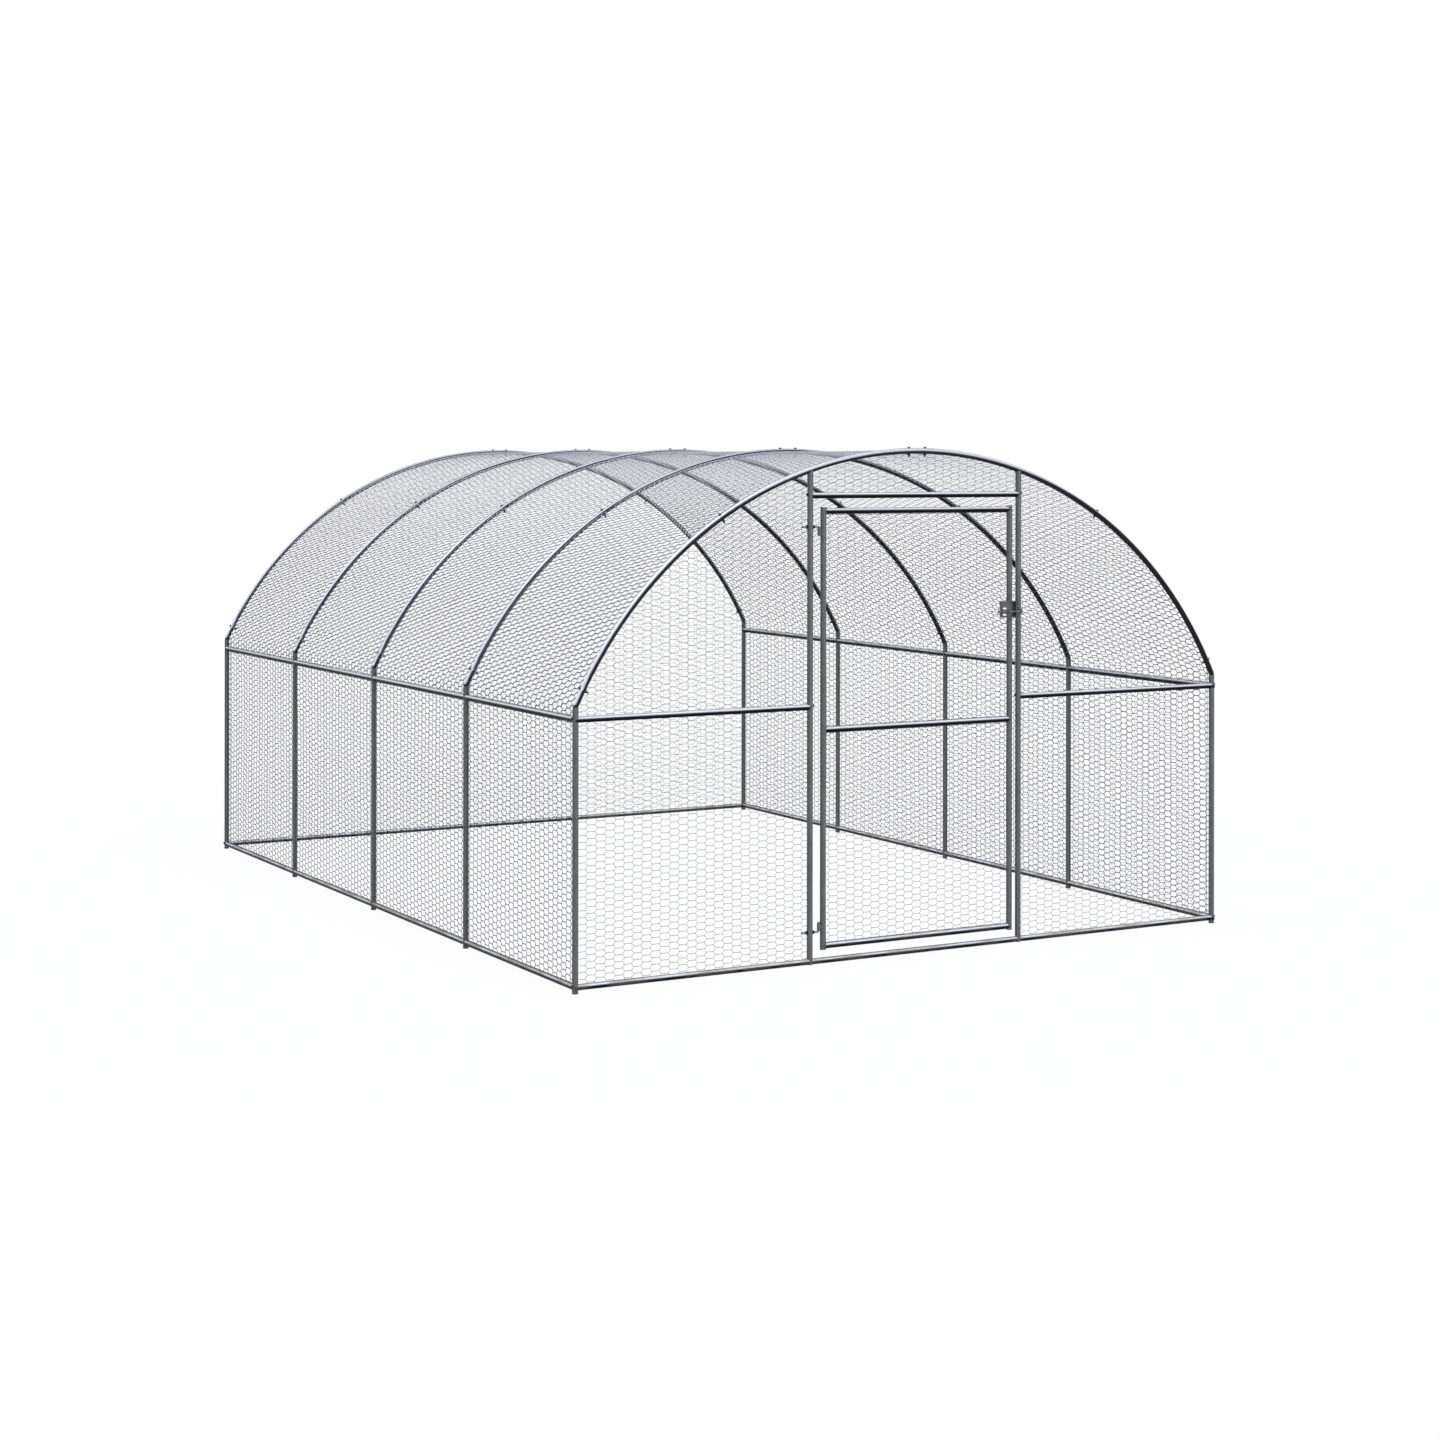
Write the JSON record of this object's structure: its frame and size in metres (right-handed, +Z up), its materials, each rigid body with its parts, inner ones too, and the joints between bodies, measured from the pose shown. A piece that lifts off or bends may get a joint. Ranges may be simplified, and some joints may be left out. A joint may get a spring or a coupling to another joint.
{
  "type": "metal chicken coop",
  "caption": "Walk-in metal chicken coop: an arched galvanised tube frame covered in hexagonal wire netting, with a hinged front door and a sliding latch bolt.",
  "frame": {"origin": "on the ground under the middle of the whole box", "axes": "+X to the right along the front, +Y from the front to the back, +Z up"},
  "size_m": [3.0084, 4.0412, 2.0004],
  "materials": {
    "galvanised_tube": "galvanised steel tube, satin",
    "zinc_fittings": "bright zinc-plated steel",
    "wire_net": "galvanised hexagonal wire netting",
    "black_plastic": "moulded black plastic"
  },
  "bodies": {
    "frame": {"arch_1": "galvanised_tube", "arch_2": "galvanised_tube", "arch_3": "galvanised_tube", "arch_4": "galvanised_tube", "arch_5": "galvanised_tube", "arch_bolts": "zinc_fittings", "arch_elbows_left": "galvanised_tube", "arch_elbows_right": "galvanised_tube", "arch_nuts": "zinc_fittings", "back_base_rails": "galvanised_tube", "back_nets": "wire_net", "back_rail_couplers": "galvanised_tube", "door_post_left": "galvanised_tube", "door_post_pegs": "galvanised_tube", "door_post_right": "galvanised_tube", "door_sill_rail": "galvanised_tube", "eave_rails_left": "galvanised_tube", "eave_rails_right": "galvanised_tube", "foot_plugs": "black_plastic", "front_base_rail_left": "galvanised_tube", "front_base_rail_right": "galvanised_tube", "front_mid_rail_left": "galvanised_tube", "front_mid_rail_right": "galvanised_tube", "front_nets_left": "wire_net", "front_nets_right": "wire_net", "gable_net": "wire_net", "hinge_hooks": "zinc_fittings", "hinge_nuts": "zinc_fittings", "latch_keeper": "zinc_fittings", "lintel_rail": "galvanised_tube", "post_left_1": "galvanised_tube", "post_left_2": "galvanised_tube", "post_left_3": "galvanised_tube", "post_left_4": "galvanised_tube", "post_left_5": "galvanised_tube", "post_right_1": "galvanised_tube", "post_right_2": "galvanised_tube", "post_right_3": "galvanised_tube", "post_right_4": "galvanised_tube", "post_right_5": "galvanised_tube", "rail_bolts": "zinc_fittings", "rail_studs": "zinc_fittings", "ridge_couplers": "galvanised_tube", "roof_nets_left_lower": "wire_net", "roof_nets_left_upper": "wire_net", "roof_nets_right_lower": "wire_net", "roof_nets_right_upper": "wire_net", "side_base_rails_left": "galvanised_tube", "side_base_rails_right": "galvanised_tube", "side_nets_left": "wire_net", "side_nets_right": "wire_net"},
    "door": {"door_hinge_stile": "galvanised_tube", "door_latch_stile": "galvanised_tube", "door_top_rail": "galvanised_tube", "door_middle_rail": "galvanised_tube", "door_bottom_rail": "galvanised_tube", "hinge_sleeves": "zinc_fittings", "latch_housing": "zinc_fittings", "door_nets": "wire_net"},
    "latch": {"latch_slide": "zinc_fittings"}
  },
  "joints": [
    {"name": "door_hinge", "type": "hinge", "parent": "frame", "child": "door", "pos_m": [-0.4486, -1.97205, 0.9], "axis": [0, 0, -1], "range_deg": [0, 115]},
    {"name": "latch_slide", "type": "slide", "parent": "door", "child": "latch", "axis": [1, 0, 0], "range_m": [0, 0.014]}
  ]
}
